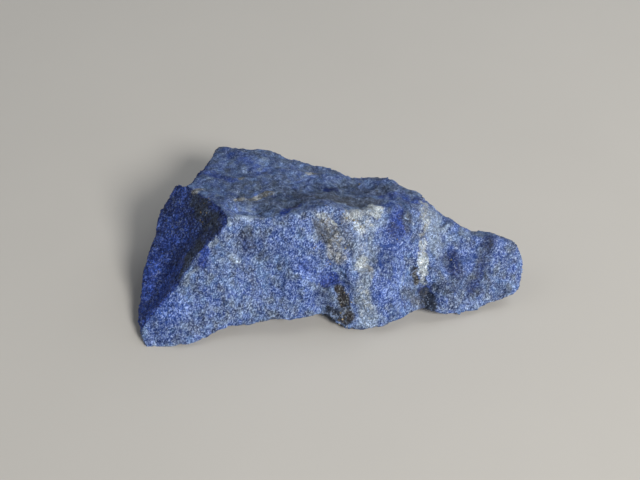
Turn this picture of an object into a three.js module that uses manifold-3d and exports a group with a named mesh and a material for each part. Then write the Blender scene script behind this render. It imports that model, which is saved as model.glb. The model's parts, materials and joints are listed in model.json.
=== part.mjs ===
// Lapis lazuli specimen: one rough, freshly broken piece of stone lying on its flattest side.
//
// Millimetres, +Z up. +X runs along the longest way, -Y is the broad front face, and the origin
// is at the centre of the base. The stone is one solid. Its corners and edges are set out first as
// a coarse cage, the cage is cut into small triangles, the faces between the edges are eased, and
// then flake scars and a rough fracture surface are worked in.

import * as THREE from 'three';
import { ImprovedNoise } from 'three/addons/math/ImprovedNoise.js';
import { TessellateModifier } from 'three/addons/modifiers/TessellateModifier.js';
import { mergeVertices } from 'three/addons/utils/BufferGeometryUtils.js';
import Module from 'manifold-3d';

// ---------------------------------------------------------------- driving dimensions

const STONE_LENGTH = 45.5; // finished length along X
const FACET_SIZE = 1.25; // longest edge of the small triangles, before the surface is worked
const TESSELLATE_PASSES = 12; // enough passes for the longest cage edge to reach FACET_SIZE
const EASING_PASSES = 7; // how far the broad faces are rounded between their edges
const EASING_STRENGTH = 0.5;
const ALONG_EDGE_STRENGTH = 0.1; // the sharp edges are straightened only a little
const EDGE_BLUNTING_STRENGTH = 0.07; // and they are blunted only a little

// Roughness of the fracture: shallow flakes with crisp ridges between them, in three sizes.
// Each layer has its height and the size of its flakes in mm.
const FRACTURE_LAYERS = [
  { height: 0.9, size: 6.5 },
  { height: 0.5, size: 3.0 },
  { height: 0.22, size: 1.6 },
];
const MEAN_FLAKE_LEVEL = 0.25; // keeps the surface where it was, on average
const EDGE_ROUGHNESS = 0.45; // share of that roughness that the sharp edges keep

const BASE_LEVEL = 0; // the stone is worn flat here, where it lies on the table
const BASE_CLEARANCE = 0.15; // no vertex is left nearer than this above the base, so no slivers
const CUTTER_DEPTH = 10;
const CUTTER_MARGIN = 20;

const WELD_DISTANCE = 1e-4;
const ON_LINE_DISTANCE = 1e-3;
const NOISE_SHIFT = 17.3; // keeps the layers of roughness from lining up

// ---------------------------------------------------------------- corners

const TOE = [-20.5, -10.5, 1]; // low front corner at the left
const PEAK = [-10, -3.5, 13]; // highest corner, where three faces meet
const HORN = [-15.5, 4, 10]; // rounded upper corner at the left
const BACK_CORNER = [-12.5, 15, 7];
const BACK_EDGE = [-12.5, 16, 3.5]; // on the upright edge under the back corner
const BACK_FOOT_CORNER = [-13, 15.5, 0.5];
const SHOULDER = [12.5, 1.5, 9.5]; // where the ridge drops to the lobe
const TIP_TOP = [23, -1, 6];
const TIP = [24.5, -2.5, 4]; // far end of the lobe
const TIP_FOOT = [24, -5, 1.5];

// ---------------------------------------------------------------- lines from corner to corner

const FRONT_FOOT = [
  TOE,
  [-20, -12.5, 0],
  [-17, -12.5, 0],
  [-13.5, -12, 0.5],
  [-10.5, -10.5, 1],
  [-6, -9.5, 1.5],
  [-2.5, -10, 2],
  [0, -9.5, 2],
  [2, -10, 1],
  [5, -10, 0],
  [8, -10, 1],
  [11, -9, 2],
  [13, -8.5, 1.5],
  [16, -8, 0.5],
  [19, -7, 0.5],
  [22, -6, 1],
  TIP_FOOT,
];
const FRONT_BELLY = [
  TOE,
  [-17, -10.5, 2.5],
  [-13, -9, 5],
  [-9, -7, 7.5],
  [-4.5, -6, 7.5],
  [0, -6, 7.5],
  [3.5, -6, 7],
  [7.5, -5.5, 7],
  [12, -4.5, 5.5],
  [16, -4.5, 5.5],
  [20, -4, 4.5],
  TIP,
];
const RIM = [
  TOE,
  [-19.5, -9.5, 2],
  [-17, -8, 4.5],
  [-15.5, -7.5, 6],
  [-14, -6.5, 8],
  [-13, -5.5, 9.5],
  [-11, -5.5, 11],
  [-9.5, -5, 12.5],
  PEAK,
];
const CREST = [
  PEAK,
  [-8, -4, 12.5],
  [-5, -3.5, 12.5],
  [-2.5, -3, 12],
  [0, -2, 12.5],
  [2, -1.5, 12],
  [3.5, -2, 11.5],
  [6, -1, 11.5],
  [10.5, 0, 10],
  SHOULDER,
];
const LOBE_TOP = [SHOULDER, [14.5, 1, 9], [17, 0, 8], [19.5, -1, 7], [21.5, -0.5, 6.5], TIP_TOP];
const LOBE_END = [TIP_FOOT, TIP, TIP_TOP];
const LEFT_LIP = [
  TOE,
  [-21, -7.5, 1.5],
  [-20.5, -3.5, 4],
  [-19.2, 0.5, 6],
  [-18.5, 3.5, 8],
  [-17, 5.5, 9.5],
  HORN,
];
const TOP_LIP = [HORN, [-13, 1, 11], PEAK];
const SCOOP_FLOOR = [TOE, [-19.5, -7.5, 1.5], [-18, -5, 3], [-16, -2, 5.5], [-14.5, -1.5, 8], PEAK];
const TOP_MIDDLE = [
  HORN,
  [-11.5, 5.5, 9.5],
  [-8.5, 4.5, 9.5],
  [-3.5, 3.5, 9.5],
  [1, 3.5, 9.5],
  [6, 3, 9.5],
  [10, 2.5, 9.5],
  SHOULDER,
];
const END_EDGE = [HORN, [-13.5, 9.5, 8.5], BACK_CORNER];
const BROW = [
  BACK_CORNER,
  [-10, 14.5, 7.5],
  [-6, 14.5, 7.5],
  [-4, 12.5, 7.5],
  [-2, 11, 7.5],
  [1.5, 10, 8],
  [4, 8, 7.5],
  [8.5, 7, 9],
  [11, 4.5, 9],
  SHOULDER,
];
const LEFT_WALL = [TOE, [-20, -3, 2], [-19, 1, 3], [-17.5, 5, 4.5], [-15, 10, 4.5], BACK_EDGE];
const BACK_WALL = [
  BACK_EDGE,
  [-9.5, 16.5, 4],
  [-5, 15, 4],
  [-1, 12.5, 4],
  [3, 10.5, 4.5],
  [7.5, 9, 4.5],
  [11.5, 6.5, 5],
  [15, 3.5, 5],
  [19, 2, 4.5],
  [23, 0.5, 4],
  TIP,
];
const LEFT_FOOT = [
  TOE,
  [-20.5, -7.5, 0],
  [-19.5, -3, 0],
  [-18, 1.5, 0],
  [-16.5, 5.5, 0],
  [-14.5, 10.5, 0.5],
  BACK_FOOT_CORNER,
];
const BACK_FOOT = [
  BACK_FOOT_CORNER,
  [-9.5, 16, 0],
  [-5, 14.5, 0],
  [-1, 12.5, 0],
  [3, 10.5, 0.5],
  [7.5, 9, 0],
  [11.5, 7, 0.5],
  [15, 4.5, 1],
  [19, 2.5, 1],
  [22.5, -0.5, 1],
  TIP_FOOT,
];
const UNDER_FRONT = [
  TOE,
  [-19, -10.5, 0],
  [-17, -9, -0.5],
  [-12, -8, -0.5],
  [-6, -6.5, -0.5],
  [0, -6, -0.5],
  [5, -7, -0.5],
  [11, -5, -0.5],
  [16, -4.5, -0.5],
  [20.5, -3.5, 0],
  TIP_FOOT,
];
const UNDER_BACK = [
  TOE,
  [-17, -3, -0.5],
  [-13.5, 4, -0.5],
  [-9, 8, -0.5],
  [-3, 7, -0.5],
  [3, 4, -0.5],
  [9, 2, -0.5],
  [15, 0, 0],
  TIP_FOOT,
];

// Each face is a run of bands, and each band lies between two lines. The first line of a face is on
// the right of the second one, seen from outside and looking from their start to their end.
const FACES = [
  { name: 'front', lines: [FRONT_FOOT, FRONT_BELLY, join(RIM, CREST, LOBE_TOP)] },
  { name: 'scoop', lines: [RIM, SCOOP_FLOOR, join(LEFT_LIP, TOP_LIP)] },
  { name: 'top', lines: [join(TOP_LIP, CREST), TOP_MIDDLE, join(END_EDGE, BROW)] },
  { name: 'left end', lines: [join(LEFT_LIP, END_EDGE), LEFT_WALL, LEFT_FOOT] },
  { name: 'back', lines: [join(BROW, LOBE_TOP), BACK_WALL, BACK_FOOT] },
  { name: 'underside', lines: [join(LEFT_FOOT, BACK_FOOT), UNDER_BACK, UNDER_FRONT, FRONT_FOOT] },
];

const SHARP_LINES = [RIM, CREST, LEFT_LIP, TOP_LIP, END_EDGE, BROW, FRONT_FOOT, LOBE_END];

// Flake scars pushed into the surface. `at` is the middle, and `into` is the way that it is pushed.
// A negative depth leaves a swelling.
const SCARS = [
  { place: 'pocket at the foot of the front', at: [2, -9, 4], radius: 3.2, depth: 1.2, into: [0, 1, -0.2] },
  { place: 'small pocket above it', at: [1.5, -7.5, 6.5], radius: 2, depth: 0.7, into: [0, 1, -0.4] },
  { place: 'cleft beside the lobe', at: [11.5, -7, 3], radius: 3.2, depth: 1.3, into: [0, 1, -0.2] },
  { place: 'head of the cleft', at: [11, -5.5, 5.5], radius: 2.2, depth: 0.6, into: [0, 1, -0.4] },
  { place: 'buttress between them', at: [6.5, -7.5, 4.5], radius: 4, depth: -0.5, into: [0, 1, -0.4] },
  { place: 'broad face', at: [-7, -6, 8.5], radius: 6, depth: 0.5, into: [0, 1, -0.6] },
  { place: 'lobe, near side', at: [16.5, -4.5, 5.5], radius: 2.8, depth: 0.5, into: [0, 1, -0.6] },
  { place: 'lobe, far side', at: [20, -3, 5.5], radius: 2.6, depth: 0.45, into: [-0.3, 1, -0.6] },
  { place: 'behind the ridge', at: [-7, -0.5, 11.5], radius: 5, depth: 0.6, into: [0, 0.2, -1] },
  { place: 'top, right', at: [4, 2.5, 10], radius: 5, depth: 0.5, into: [0, 0, -1] },
  { place: 'top, left', at: [-10, 10, 8.5], radius: 5, depth: 0.4, into: [0, 0, -1] },
  { place: 'back, left', at: [-7, 16, 4], radius: 6.5, depth: 1.3, into: [0.1, -1, -0.1] },
  { place: 'back, middle', at: [4, 10, 3], radius: 5.5, depth: 1.2, into: [-0.2, -1, 0] },
  { place: 'back of the lobe', at: [17, 3, 4.5], radius: 4.5, depth: 0.9, into: [-0.3, -1, 0] },
  { place: 'left end', at: [-18, 7, 3], radius: 6, depth: 1.2, into: [1, -0.1, 0] },
  { place: 'underside, left', at: [-13, -5, 0], radius: 6, depth: 1.2, into: [0, 0, 1] },
  { place: 'underside, middle', at: [3, -3, 0], radius: 6.5, depth: 1.3, into: [0, 0, 1] },
  { place: 'underside, back', at: [-7, 9.5, 0], radius: 5, depth: 1.2, into: [0, 0, 1] },
  { place: 'underside of the lobe', at: [15, -2.5, 0], radius: 4, depth: 1, into: [0, 0, 1] },
];

// ---------------------------------------------------------------- cage

/** One line made of several that follow each other, with each shared corner kept once. */
function join(...lines) {
  return lines.reduce((whole, line) => whole.concat(line.slice(1)));
}

function distance(a, b) {
  return Math.hypot(a[0] - b[0], a[1] - b[1], a[2] - b[2]);
}

/** Triangles between two lines, each step taking the shorter of the two ways across. */
function bandBetween(right, left) {
  const triangles = [];
  let i = 0;
  let j = 0;
  while (i < right.length - 1 || j < left.length - 1) {
    const rightIsDone = i === right.length - 1;
    const leftIsDone = j === left.length - 1;
    const stepRight = leftIsDone
      || (!rightIsDone && distance(right[i + 1], left[j]) <= distance(right[i], left[j + 1]));
    const next = stepRight ? right[i + 1] : left[j + 1];
    const triangle = [right[i], next, left[j]];
    if (new Set(triangle.map(String)).size === triangle.length) triangles.push(triangle);
    if (stepRight) i += 1;
    else j += 1;
  }
  return triangles;
}

function cageGeometry() {
  const positions = [];
  for (const { lines } of FACES) {
    for (let k = 0; k + 1 < lines.length; k += 1) {
      positions.push(...bandBetween(lines[k], lines[k + 1]).flat(2));
    }
  }
  const geometry = new THREE.BufferGeometry();
  geometry.setAttribute('position', new THREE.Float32BufferAttribute(positions, 3));
  return geometry;
}

// ---------------------------------------------------------------- fine mesh

/** The geometry with every shared vertex merged and nothing but positions left on it. */
function welded(geometry) {
  const bare = new THREE.BufferGeometry();
  bare.setAttribute('position', geometry.getAttribute('position').clone());
  if (geometry.index) bare.setIndex(geometry.index.clone());
  return mergeVertices(bare, WELD_DISTANCE);
}

function isOnLine(point, line) {
  const segment = new THREE.Line3();
  const nearest = new THREE.Vector3();
  for (let k = 0; k + 1 < line.length; k += 1) {
    segment.set(new THREE.Vector3(...line[k]), new THREE.Vector3(...line[k + 1]));
    segment.closestPointToPoint(point, true, nearest);
    if (nearest.distanceTo(point) < ON_LINE_DISTANCE) return true;
  }
  return false;
}

/** For each vertex, the vertices that share a triangle edge with it. */
function neighboursOf(geometry) {
  const neighbours = Array.from({ length: geometry.getAttribute('position').count }, () => new Set());
  const index = geometry.index.array;
  for (let k = 0; k < index.length; k += 3) {
    for (let side = 0; side < 3; side += 1) {
      const a = index[k + side];
      const b = index[k + ((side + 1) % 3)];
      neighbours[a].add(b);
      neighbours[b].add(a);
    }
  }
  return neighbours;
}

function middleOf(points) {
  const middle = new THREE.Vector3();
  points.forEach((point) => middle.add(point));
  return middle.divideScalar(points.length);
}

/** Moves each vertex towards the middle of its neighbours, and the sharp ones much less. */
function easeFaces(points, neighbours, sharp) {
  for (let pass = 0; pass < EASING_PASSES; pass += 1) {
    const before = points.map((point) => point.clone());
    points.forEach((point, k) => {
      const around = [...neighbours[k]];
      const middle = middleOf(around.map((n) => before[n]));
      if (sharp[k]) {
        const alongEdge = around.filter((n) => sharp[n]);
        if (alongEdge.length > 1) {
          point.lerp(middleOf(alongEdge.map((n) => before[n])), ALONG_EDGE_STRENGTH);
        }
        point.lerp(middle, EDGE_BLUNTING_STRENGTH);
      } else {
        point.lerp(middle, EASING_STRENGTH);
      }
    });
  }
}

// ---------------------------------------------------------------- fracture surface

/** Each scar is a bowl: deepest in its middle, and running out to nothing at a crisp rim. */
function pressScars(points) {
  for (const { at, radius, depth, into } of SCARS) {
    const centre = new THREE.Vector3(...at);
    const direction = new THREE.Vector3(...into).normalize();
    const distances = points.map((point) => point.distanceTo(centre) / radius);
    points.forEach((point, k) => {
      if (distances[k] < 1) point.addScaledVector(direction, depth * (1 - distances[k] ** 2));
    });
  }
}

const noise = new ImprovedNoise();

function fractureHeight(point) {
  let sum = 0;
  FRACTURE_LAYERS.forEach(({ height, size }, layer) => {
    const shift = NOISE_SHIFT * (layer + 1);
    const flake = Math.abs(noise.noise(point.x / size + shift, point.y / size - shift, point.z / size));
    sum += height * (MEAN_FLAKE_LEVEL - flake);
  });
  return sum;
}

function vertexNormals(geometry) {
  geometry.computeVertexNormals();
  const normals = geometry.getAttribute('normal');
  return Array.from({ length: normals.count }, (_, k) => new THREE.Vector3().fromBufferAttribute(normals, k));
}

function roughen(geometry, points, sharp) {
  const normals = vertexNormals(geometry);
  points.forEach((point, k) => {
    const share = sharp[k] ? EDGE_ROUGHNESS : 1;
    point.addScaledVector(normals[k], fractureHeight(point) * share);
  });
}

/** Puts points that only just clear the base under it, so that the flat cut leaves no slivers. */
function settleOnBase(points) {
  points.forEach((point) => {
    if (Math.abs(point.z - BASE_LEVEL) < BASE_CLEARANCE) point.z = BASE_LEVEL - BASE_CLEARANCE;
  });
}

function store(geometry, points) {
  const attribute = geometry.getAttribute('position');
  points.forEach((point, k) => attribute.setXYZ(k, point.x, point.y, point.z));
  attribute.needsUpdate = true;
}

function workedGeometry() {
  const tessellated = new TessellateModifier(FACET_SIZE, TESSELLATE_PASSES).modify(cageGeometry());
  const geometry = welded(tessellated);
  const attribute = geometry.getAttribute('position');
  const points = Array.from(
    { length: attribute.count },
    (_, k) => new THREE.Vector3().fromBufferAttribute(attribute, k),
  );
  const sharp = points.map((point) => SHARP_LINES.some((line) => isOnLine(point, line)));
  easeFaces(points, neighboursOf(geometry), sharp);
  pressScars(points);
  store(geometry, points);
  roughen(geometry, points, sharp);
  settleOnBase(points);
  store(geometry, points);
  return geometry;
}

// ---------------------------------------------------------------- solid

const wasm = await Module();
wasm.setup();

function solidFrom(geometry) {
  const closed = welded(geometry);
  return new wasm.Manifold(new wasm.Mesh({
    numProp: 3,
    vertProperties: new Float32Array(closed.getAttribute('position').array),
    triVerts: new Uint32Array(closed.index.array),
  }));
}

function geometryFrom(solid) {
  const { vertProperties, triVerts } = solid.getMesh();
  const geometry = new THREE.BufferGeometry();
  geometry.setAttribute('position', new THREE.Float32BufferAttribute(vertProperties, 3));
  geometry.setIndex(new THREE.Uint32BufferAttribute(triVerts, 1));
  return geometry;
}

/** A block under the table's level, wider than the stone all round. */
function baseCutter() {
  const width = STONE_LENGTH + 2 * CUTTER_MARGIN;
  const block = new THREE.BoxGeometry(width, width, CUTTER_DEPTH);
  block.translate(0, 0, BASE_LEVEL - CUTTER_DEPTH / 2);
  return block;
}

function stoneGeometry() {
  const stone = geometryFrom(solidFrom(workedGeometry()).subtract(solidFrom(baseCutter())));
  stone.computeBoundingBox();
  const { min, max } = stone.boundingBox;
  stone.translate(-(min.x + max.x) / 2, -(min.y + max.y) / 2, -min.z);
  const scale = STONE_LENGTH / (max.x - min.x);
  stone.scale(scale, scale, scale);
  stone.computeVertexNormals();
  return stone;
}

// ---------------------------------------------------------------- part

const lapisStone = new THREE.Mesh(
  stoneGeometry(),
  new THREE.MeshStandardMaterial({ color: 0x3d5890, roughness: 0.8, metalness: 0 }),
);
lapisStone.name = 'lapis_lazuli_stone';

const specimen = new THREE.Group();
specimen.add(lapisStone);

export default specimen;
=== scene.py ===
"""Lapis lazuli specimen: the visible stone, its pyrite crystals and the stage that they stand on.

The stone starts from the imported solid. It is remeshed finely, given a granular broken surface, and
coloured grain by grain. Sizes in the settings are in metres, and places in the tables below are in
millimetres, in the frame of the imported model: +X towards the tapering lobe, -Y out of the broad
front face, +Z up, with the origin under the middle of the stone.
"""

import json
import math
import random

import bpy
from bpy.props import FloatProperty, FloatVectorProperty, IntProperty, PointerProperty
from mathutils import Matrix, Vector

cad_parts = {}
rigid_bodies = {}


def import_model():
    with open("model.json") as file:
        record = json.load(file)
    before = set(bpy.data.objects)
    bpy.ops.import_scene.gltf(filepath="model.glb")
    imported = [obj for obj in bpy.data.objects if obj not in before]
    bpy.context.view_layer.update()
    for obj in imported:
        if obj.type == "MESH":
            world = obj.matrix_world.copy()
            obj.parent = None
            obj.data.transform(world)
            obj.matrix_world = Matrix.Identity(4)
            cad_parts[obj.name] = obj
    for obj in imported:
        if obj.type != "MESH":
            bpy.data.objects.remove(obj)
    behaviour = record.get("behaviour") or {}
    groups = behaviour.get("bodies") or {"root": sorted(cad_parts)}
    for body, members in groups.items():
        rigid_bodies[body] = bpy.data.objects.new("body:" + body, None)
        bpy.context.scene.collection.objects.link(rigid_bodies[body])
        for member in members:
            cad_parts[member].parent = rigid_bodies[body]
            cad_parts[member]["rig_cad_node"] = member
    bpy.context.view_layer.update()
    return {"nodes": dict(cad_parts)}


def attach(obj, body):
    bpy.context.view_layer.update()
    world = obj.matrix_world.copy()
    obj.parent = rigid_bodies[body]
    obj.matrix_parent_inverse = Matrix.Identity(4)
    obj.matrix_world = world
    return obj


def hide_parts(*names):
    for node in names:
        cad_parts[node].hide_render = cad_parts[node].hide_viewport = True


bl_info = {
    "name": "Lapis lazuli specimen",
    "version": (1, 0, 0),
    "blender": (4, 5, 0),
    "location": "3D View > Sidebar > Lapis",
    "description": "Builds a rough piece of lapis lazuli with its pyrite crystals and a plain stage",
    "category": "Object",
}

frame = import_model()
STONE_NODE = "lapis_lazuli_stone"
MM = 0.001

# A name that ends in RAMP holds where a smooth step starts and ends, and then what it runs from and to,
# if that isn't 0 and 1.

# The chips, which both the relief and the colours follow: the width of one, and the width and the
# reach of the noise that bends its border, all in mm.
CHIP_SIZE = 0.95
CHIP_BEND_SIZE = 0.8
CHIP_BEND = 0.25


# ------------------------------ settings


def length(name, description, default):
    return FloatProperty(name=name, description=description, default=default, unit="LENGTH", min=0.0)


def amount(name, description, default):
    return FloatProperty(name=name, description=description, default=default)


def colour(name, description, default):
    return FloatVectorProperty(
        name=name, description=description, default=default, size=3, subtype="COLOR", min=0.0, max=1.0
    )


class StoneSettings(bpy.types.PropertyGroup):
    mesh_size: length("Mesh size", "Size of the fine mesh's faces", 0.18 * MM)
    sharpening: amount("Sharpening", "How far the ridges are drawn out", 0.3)
    swell_height: length("Swell height", "Relief of the broad swells", 0.3 * MM)
    flake_height: length("Flake height", "Relief of the shallow flakes", 0.16 * MM)
    chip_height: length("Chip height", "Relief of the small chips", 0.06 * MM)
    ledge_height: length("Ledge height", "Height of the small steps in the surface", 0.14 * MM)
    grain_size: length("Grain size", "Width of one crystal grain", 0.42 * MM)
    grain_height: length("Grain height", "How far the grains stand out", 0.03 * MM)
    grain_tilt: amount("Grain tilt", "How far the grains' faces lean", 0.35)
    speck_size: length("Speck size", "Width of the finest specks", 0.12 * MM)
    speck_tilt: amount("Speck tilt", "How far the specks' faces lean", 0.5)
    navy: colour("Navy", "Grains with little light in them", (0.034, 0.064, 0.2))
    mid_blue: colour("Mid blue", "Ordinary grains", (0.046, 0.104, 0.34))
    sky_blue: colour("Sky blue", "Light clean grains", (0.1, 0.205, 0.51))
    vivid_blue: colour("Vivid blue", "Clean bright grains", (0.022, 0.08, 0.39))
    deep_blue: colour("Deep blue", "Pure lazurite grains", (0.015, 0.043, 0.25))
    grey: colour("Grey", "Grains clouded with other minerals", (0.105, 0.14, 0.2))
    pale_blue: colour("Pale blue", "Grains mixed with calcite", (0.28, 0.37, 0.53))
    milky: colour("Milky", "Cloudy grains beside the veins", (0.33, 0.39, 0.45))
    # Pale for bruising on edges, and also a painted highlight along the ridges.
    bruise_and_highlight: colour("Bruise", "Worn edges and the rims of chips", (0.24, 0.335, 0.55))
    # Painted highlights on lone specks.
    painted_glint: colour("Glint", "Lone bright specks", (0.38, 0.49, 0.73))
    calcite: colour("Calcite", "White vein grains", (0.55, 0.6, 0.62))
    dark_grain: colour("Dark grain", "Near-black grains", (0.036, 0.052, 0.1))
    slate: colour("Slate", "Dark grey-green grains of the matrix", (0.085, 0.095, 0.11))
    tan_grain: colour("Tan grain", "Grey-brown grains of the matrix", (0.255, 0.262, 0.265))
    brown: colour("Brown", "Rusty dark grains in the pockets", (0.042, 0.04, 0.046))


class PyriteSettings(bpy.types.PropertyGroup):
    smallest: length("Smallest crystal", "Width of the smallest crystals", 0.07 * MM)
    largest: length("Largest crystal", "Width of the largest crystals", 0.24 * MM)
    seed: IntProperty(name="Seed", description="Arrangement of the crystals", default=7)
    gold: colour("Gold", "Colour of the metal", (0.6, 0.52, 0.36))


class StageSettings(bpy.types.PropertyGroup):
    floor_colour: colour("Floor colour", "Colour of the plain floor", (0.6, 0.575, 0.53))
    camera_distance: length("Camera distance", "From the camera to the stone", 128 * MM)
    camera_elevation: FloatProperty(
        name="Camera elevation",
        description="Height of the camera's view above level",
        default=math.radians(45),
        subtype="ANGLE",
    )


# ------------------------------ markings

# Each marking is a ragged band from one point to another, with its half-width and its strength.
# The tables whose names start with SCOOP count only inside the hollow on the stone's left.

# Pure lazurite, the deepest blue.
DEEP_BLUE_BANDS = [
    ((-9.9, -6.4, 10.3), (-9.4, -7, 9.3), 1.0, 0.55),
    ((-5.5, -4, 12), (-4.3, -2.4, 11.2), 0.9, 0.75),
    ((-15.6, 6.7, 9), (-12.3, 4.2, 9.6), 1.3, 0.6),
    ((-13, 12, 7.5), (-8.6, 6.5, 8.8), 1.7, 0.5),
    ((-0.8, 2.7, 9.3), (0.2, 3, 9.3), 0.8, 0.7),
    ((6.3, 1, 9.8), (11, 0.3, 9.5), 1.2, 0.6),
    ((7.4, -2.2, 9.9), (7.6, -4.2, 9), 1.3, 0.7),
    ((-3.2, -7.9, 7.2), (-1.4, -8.1, 5.9), 1.0, 0.55),
    ((-0.8, -8.5, 5), (0.4, -8.2, 5.2), 0.8, 0.9),
    ((-14.2, -7.6, 8.9), (-15, -8.3, 8), 0.8, 0.78),
    ((14, -5, 5.6), (14.7, -6.4, 4.4), 1.2, 0.6),
    ((18.5, -2.9, 6.5), (17.7, -5.2, 4.8), 0.9, 0.5),
    ((17.7, -5.2, 4.8), (16.3, -7.6, 2.8), 1.0, 0.55),
    ((11, -7.7, 2.6), (11.3, -8.7, 2), 1.0, 1.1),
]

# Clean bright blue.
VIVID_BANDS = [
    ((6.8, -1.3, 10.7), (7.4, -2.1, 10.1), 1.0, 0.8),
    ((14.5, -2.2, 7.5), (15.8, -2, 7.3), 0.9, 0.5),
    ((-7.4, 7.6, 8.6), (-6.6, 7.3, 8.6), 1.1, 0.5),
    ((1.9, -9.5, 3.9), (2.5, -10.3, 2.6), 0.7, 0.6),
    ((-5.5, -6.3, 9.5), (-3.7, -7.7, 7.6), 1.6, 0.7),
    ((-3.7, -7.7, 7.6), (-1.4, -8.1, 5.9), 1.5, 0.8),
    ((-4.9, -9.1, 5.3), (-2, -9.7, 3.4), 1.8, 0.7),
    ((7.6, -4.5, 8.8), (6, -9.5, 4.8), 1.9, 1.0),
    ((-19.3, -11.1, 3.2), (-17.8, -11.4, 3.5), 2.0, 0.9),
    ((-20.5, -12.2, 2), (-19.5, -13, 1.1), 1.5, 0.7),
    ((9, 0, 10), (11, -0.5, 9.6), 1.2, 0.5),
    ((13, -3, 7.2), (13.6, -3.8, 6.6), 0.9, 0.5),
    ((8, 2.2, 9.3), (8.6, 1.2, 9.6), 1.2, 0.5),
    ((14.5, -5, 5), (19, -4, 5.5), 3.0, 0.6),
    ((20, -3, 6), (21.5, -5.5, 3), 1.6, 0.5),
]
SCOOP_BLUE_BANDS = [
    ((-17, 0, 9), (-20, -8, 4), 12, 2.0),
]

# Near-black grains and shaded pits.
DARK_BANDS = [
    ((0.6, -8.4, 4.7), (1.1, -9.5, 3.1), 0.6, 0.5),
    ((1.2, -9.7, 3), (1.8, -11, 1.2), 0.6, 0.7),
    ((-0.3, -10.2, 1.8), (1.3, -10.8, 1.5), 0.6, 1.15),
    ((11, -8, 2.4), (11.5, -9, 1.7), 0.9, 1.2),
    ((9.3, -6.1, 5.3), (9.7, -7, 3.6), 0.35, 0.9),
    ((18.5, -2.7, 6.5), (17.7, -5.2, 4.8), 0.7, 0.5),
    ((-8.2, -1.6, 10.7), (-7.2, -2.4, 11), 0.8, 0.6),
]
SCOOP_DARK_BANDS = [
    ((-16, 0, 10), (-13.2, -5.7, 11.1), 1.8, 0.7),
    ((-14.8, -3.5, 10), (-15.4, -6.3, 8.9), 1.8, 0.65),
    ((-15.4, -6.3, 8.9), (-17, -8.3, 6.6), 1.3, 0.75),
]

# Painted light: places painted a little lighter than the rest.
PAINTED_LIGHT_BANDS = [
    ((-19.5, -10.9, 3.4), (-17.6, -11.2, 4), 1.8, 0.6),
    ((-21.6, -11.8, 1.8), (-21.2, -12.2, 1.4), 0.7, 0.7),
    ((-3.4, -8.3, 6.2), (-3, -9, 5), 1.2, 0.6),
    ((8.4, -7.5, 4.4), (7.6, -8.6, 3.6), 1.4, 0.5),
    ((4.9, -10.2, 4), (5.5, -9.5, 4.2), 1.2, 0.5),
    ((4.6, -1.2, 10.5), (4.9, -2.4, 10.9), 0.8, 0.8),
    ((2.4, -4.2, 10.8), (2.6, -4.8, 10.2), 0.9, 0.6),
    ((10.5, -5.8, 6), (10.6, -6.5, 4.5), 0.6, 1.5),
    ((10.7, -6.5, 4.4), (11.2, -7, 3.7), 0.7, 1.1),
    ((-5.1, -9.2, 5), (-4.7, -9.6, 4.3), 1.0, 0.4),
    ((-10.3, -2.9, 10.8), (-9.2, -2.7, 10.8), 0.9, 1.6),
    ((-11, -7.8, 8.5), (-10.5, -7.9, 8.3), 0.7, 0.7),
    ((3.6, -11.2, 1.7), (4.1, -11.5, 1.2), 0.8, 0.6),
    ((-11, 9, 8.3), (-9.2, 8, 8.6), 1.8, 1.2),
    ((-15.3, 6.1, 9), (-14.4, 6.5, 9), 1.1, 0.5),
    ((-8.9, 0.7, 10.2), (-7.6, 1.5, 10), 0.8, 1.4),
    ((8, 1.6, 9.5), (8.7, 1.3, 9.6), 1.0, 0.6),
    ((0.2, -7.2, 7), (0.5, -7.6, 6.5), 0.8, 0.4),
    ((-4.5, 5, 9), (-1.4, 7.3, 8.1), 1.5, 0.6),
    ((14.4, -2.4, 7.5), (15.6, -2, 7.4), 0.9, 0.3),
    ((20.5, -3, 6), (22, -5.5, 2.8), 1.1, 0.3),
    ((-11, -4.4, 12), (-9.5, -4.8, 12), 1.0, 0.7),
]
# In the hollow, painted light along the shaded strip beside the rim and near the left lip.
SCOOP_PAINTED_LIGHT_BANDS = [
    ((-16.4, -8.3, 7), (-18.3, -9.8, 4.6), 1.1, 0.9),
    ((-18.3, -9.8, 4.6), (-20.5, -11.3, 2.4), 1.2, 1.0),
    ((-21.2, -9.8, 2.1), (-18.7, -6.9, 4.6), 1.0, 1.2),
    ((-18.7, -6.9, 4.6), (-17, -6.7, 7.0), 0.8, 1.0),
    ((-22, -8, 2.5), (-20.5, -3, 5.5), 0.9, 0.6),
]
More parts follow.
